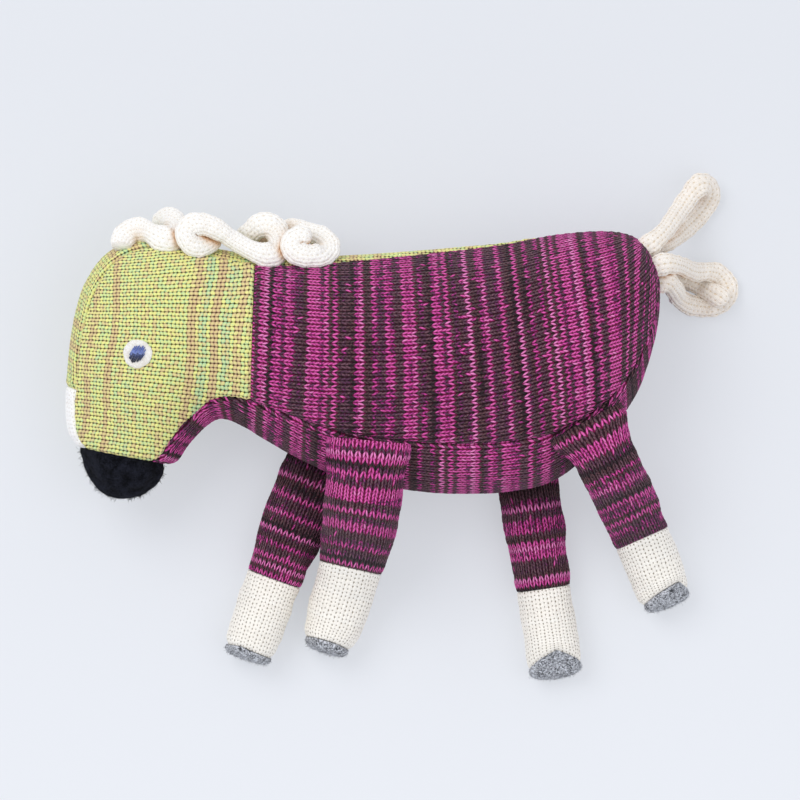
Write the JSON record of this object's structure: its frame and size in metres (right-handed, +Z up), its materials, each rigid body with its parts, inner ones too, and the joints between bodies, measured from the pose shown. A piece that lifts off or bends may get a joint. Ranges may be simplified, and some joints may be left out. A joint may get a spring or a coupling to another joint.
{
  "type": "plush horse",
  "caption": "Knitted plush horse lying on its side, with a stuffed body and head, hinged legs, and a mane and tail of knitted cord.",
  "frame": {"origin": "on the surface that the toy lies on, under the middle of the bounding box of everything but the loose tail cords", "axes": "+X from the head to the tail, +Y from the belly to the back, +Z up, out of the toy's left side"},
  "size_m": [0.302, 0.228, 0.0723],
  "materials": {
    "striped_knit": "machine knit, magenta and dark brown stripes",
    "green_knit": "machine knit, yellow, green and tan stripes",
    "cream_knit": "machine knit, plain cream",
    "cream_cord": "knitted cord, plain cream",
    "black_felt": "felted wool",
    "grey_felt": "felted wool, speckled",
    "white_felt": "felted wool",
    "blue_thread": "satin stitch",
    "stuffing": "loose polyester fibre"
  },
  "bodies": {
    "torso": {"body_left_panel": "striped_knit", "body_right_panel": "striped_knit", "belly_gusset": "striped_knit", "head_left_panel": "green_knit", "head_right_panel": "green_knit", "top_gusset": "green_knit", "blaze": "cream_knit", "muzzle_cap": "black_felt", "head_stuffing": "stuffing", "body_stuffing": "stuffing", "left_eye_felt": "white_felt", "right_eye_felt": "white_felt", "left_eye_pupil": "blue_thread", "right_eye_pupil": "blue_thread", "mane_cord": "cream_cord", "tail_long_loop": "cream_cord", "tail_short_loop": "cream_cord", "tail_cut_end": "cream_cord"},
    "front_left_leg": {"front_left_sleeve": "striped_knit", "front_left_sock": "cream_knit", "front_left_sole": "grey_felt", "front_left_stuffing": "stuffing"},
    "front_right_leg": {"front_right_sleeve": "striped_knit", "front_right_sock": "cream_knit", "front_right_sole": "grey_felt", "front_right_stuffing": "stuffing"},
    "hind_left_leg": {"hind_left_sleeve": "striped_knit", "hind_left_sock": "cream_knit", "hind_left_sole": "grey_felt", "hind_left_stuffing": "stuffing"},
    "hind_right_leg": {"hind_right_sleeve": "striped_knit", "hind_right_sock": "cream_knit", "hind_right_sole": "grey_felt", "hind_right_stuffing": "stuffing"}
  },
  "joints": [
    {"name": "front_left_seam", "type": "hinge", "parent": "torso", "child": "front_left_leg", "pos_m": [-0.00421, 0.00253, 0.06731], "axis": [-0.9878, 0.156, 0.0013], "range_deg": [0, 80]},
    {"name": "front_right_seam", "type": "hinge", "parent": "torso", "child": "front_right_leg", "pos_m": [-0.02017, 0.00568, 0.00482], "axis": [0.9664, -0.2564, -0.0199], "range_deg": [0, 80]},
    {"name": "hind_left_seam", "type": "hinge", "parent": "torso", "child": "hind_left_leg", "pos_m": [0.0925, 0.01116, 0.06506], "axis": [-0.8471, -0.5215, 0.1018], "range_deg": [0, 80]},
    {"name": "hind_right_seam", "type": "hinge", "parent": "torso", "child": "hind_right_leg", "pos_m": [0.06462, 0.00149, 0.00489], "axis": [0.9908, 0.1312, 0.0322], "range_deg": [0, 80]}
  ]
}
